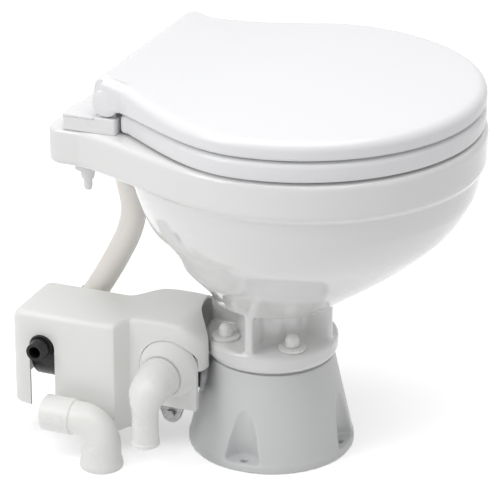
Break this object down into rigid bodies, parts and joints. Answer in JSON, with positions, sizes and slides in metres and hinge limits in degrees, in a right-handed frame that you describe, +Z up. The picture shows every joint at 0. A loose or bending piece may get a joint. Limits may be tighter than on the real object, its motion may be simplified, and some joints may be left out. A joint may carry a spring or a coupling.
{
  "type": "electric marine toilet",
  "caption": "Compact electric marine toilet: china bowl on a moulded base, hinged seat and lid, macerator pump unit under a cover, swivelling discharge elbow.",
  "frame": {"origin": "on the floor, under the middle of the round base", "axes": "+Z up; the bowl's front looks along -Y; the pump unit stands behind and to the left, at -X and +Y"},
  "size_m": [0.333, 0.4275, 0.382],
  "materials": {
    "base": "satin pale grey moulding",
    "base_gasket": "black rubber",
    "bowl": "glossy white glaze",
    "flange_washer_1": "satin white moulding",
    "flange_washer_2": "satin white moulding",
    "flange_washer_3": "satin white moulding",
    "flange_washer_4": "satin white moulding",
    "flange_bolt_1": "brushed stainless steel",
    "flange_bolt_2": "brushed stainless steel",
    "flange_bolt_3": "brushed stainless steel",
    "flange_bolt_4": "brushed stainless steel",
    "flange_cap_1": "satin white moulding",
    "flange_cap_2": "satin white moulding",
    "flange_cap_3": "satin white moulding",
    "flange_cap_4": "satin white moulding",
    "hinge_bracket_left": "satin white moulding",
    "hinge_bracket_right": "satin white moulding",
    "hinge_cap_left": "satin white moulding",
    "hinge_cap_right": "satin white moulding",
    "hinge_pin_left": "brushed stainless steel",
    "hinge_pin_right": "brushed stainless steel",
    "hinge_bolt_left": "satin white moulding",
    "hinge_bolt_right": "satin white moulding",
    "hinge_nut_left": "satin white moulding",
    "hinge_nut_right": "satin white moulding",
    "pump_body": "glossy black moulding",
    "pump_end_plate": "glossy black moulding",
    "shaft_seal": "black rubber",
    "motor_case": "black painted steel",
    "rear_bearing": "brushed stainless steel",
    "motor_flange": "glossy black moulding",
    "front_bearing": "brushed stainless steel",
    "macerator_housing": "glossy black moulding",
    "discharge_gasket": "black rubber",
    "discharge_plate": "brushed stainless steel",
    "plate_screw": "brushed stainless steel",
    "discharge_boss": "satin white moulding",
    "elbow_seal": "black rubber",
    "pump_cover": "satin white moulding",
    "rinse_hose": "white reinforced hose",
    "hose_clamp_bottom": "brushed stainless steel",
    "hose_clamp_top": "brushed stainless steel",
    "seat": "satin gloss white",
    "seat_bumper_1": "pale rubber",
    "seat_bumper_2": "pale rubber",
    "seat_bumper_3": "pale rubber",
    "seat_bumper_4": "pale rubber",
    "lid": "satin gloss white",
    "lid_bumper_1": "pale rubber",
    "lid_bumper_2": "pale rubber",
    "lid_bumper_3": "pale rubber",
    "shaft": "brushed stainless steel",
    "rotor": "bare laminated steel",
    "rinse_impeller": "black rubber",
    "discharge_impeller": "glossy black moulding",
    "macerator_blade": "brushed stainless steel",
    "discharge_elbow": "satin white moulding",
    "spare_elbow": "satin white moulding"
  },
  "bodies": {
    "frame": {"base": "base", "base_gasket": "base_gasket", "bowl": "bowl", "flange_washer_1": "flange_washer_1", "flange_washer_2": "flange_washer_2", "flange_washer_3": "flange_washer_3", "flange_washer_4": "flange_washer_4", "flange_bolt_1": "flange_bolt_1", "flange_bolt_2": "flange_bolt_2", "flange_bolt_3": "flange_bolt_3", "flange_bolt_4": "flange_bolt_4", "flange_cap_1": "flange_cap_1", "flange_cap_2": "flange_cap_2", "flange_cap_3": "flange_cap_3", "flange_cap_4": "flange_cap_4", "hinge_bracket_left": "hinge_bracket_left", "hinge_bracket_right": "hinge_bracket_right", "hinge_cap_left": "hinge_cap_left", "hinge_cap_right": "hinge_cap_right", "hinge_pin_left": "hinge_pin_left", "hinge_pin_right": "hinge_pin_right", "hinge_bolt_left": "hinge_bolt_left", "hinge_bolt_right": "hinge_bolt_right", "hinge_nut_left": "hinge_nut_left", "hinge_nut_right": "hinge_nut_right", "pump_body": "pump_body", "pump_end_plate": "pump_end_plate", "shaft_seal": "shaft_seal", "motor_case": "motor_case", "rear_bearing": "rear_bearing", "motor_flange": "motor_flange", "front_bearing": "front_bearing", "macerator_housing": "macerator_housing", "discharge_gasket": "discharge_gasket", "discharge_plate": "discharge_plate", "plate_screw": "plate_screw", "discharge_boss": "discharge_boss", "elbow_seal": "elbow_seal", "pump_cover": "pump_cover", "rinse_hose": "rinse_hose", "hose_clamp_bottom": "hose_clamp_bottom", "hose_clamp_top": "hose_clamp_top"},
    "seat": {"seat": "seat", "seat_bumper_1": "seat_bumper_1", "seat_bumper_2": "seat_bumper_2", "seat_bumper_3": "seat_bumper_3", "seat_bumper_4": "seat_bumper_4"},
    "lid": {"lid": "lid", "lid_bumper_1": "lid_bumper_1", "lid_bumper_2": "lid_bumper_2", "lid_bumper_3": "lid_bumper_3"},
    "motor_shaft": {"shaft": "shaft", "rotor": "rotor", "rinse_impeller": "rinse_impeller", "discharge_impeller": "discharge_impeller", "macerator_blade": "macerator_blade"},
    "discharge_elbow": {"discharge_elbow": "discharge_elbow"},
    "spare_elbow": {"spare_elbow": "spare_elbow"}
  },
  "joints": [
    {"name": "seat_hinge", "type": "hinge", "parent": "frame", "child": "seat", "pos_m": [0, 0.118, 0.358], "axis": [1, 0, 0], "range_deg": [-95, 0]},
    {"name": "lid_hinge", "type": "hinge", "parent": "seat", "child": "lid", "pos_m": [0, 0.118, 0.358], "axis": [-1, 0, 0], "range_deg": [0, 95]},
    {"name": "elbow_swivel", "type": "hinge", "parent": "frame", "child": "discharge_elbow", "pos_m": [-0.0885, 0.0755, 0.0896], "axis": [-1, 0, 0], "range_deg": [0, 180]},
    {"name": "shaft_spin", "type": "hinge", "parent": "frame", "child": "motor_shaft", "pos_m": [-0.0515, 0.137, 0.0872], "axis": [0, 1, 0], "continuous": true},
    {"name": "spare_elbow_lift", "type": "slide", "parent": "frame", "child": "spare_elbow", "axis": [0, 0, 1], "range_m": [0, 0.015]}
  ]
}
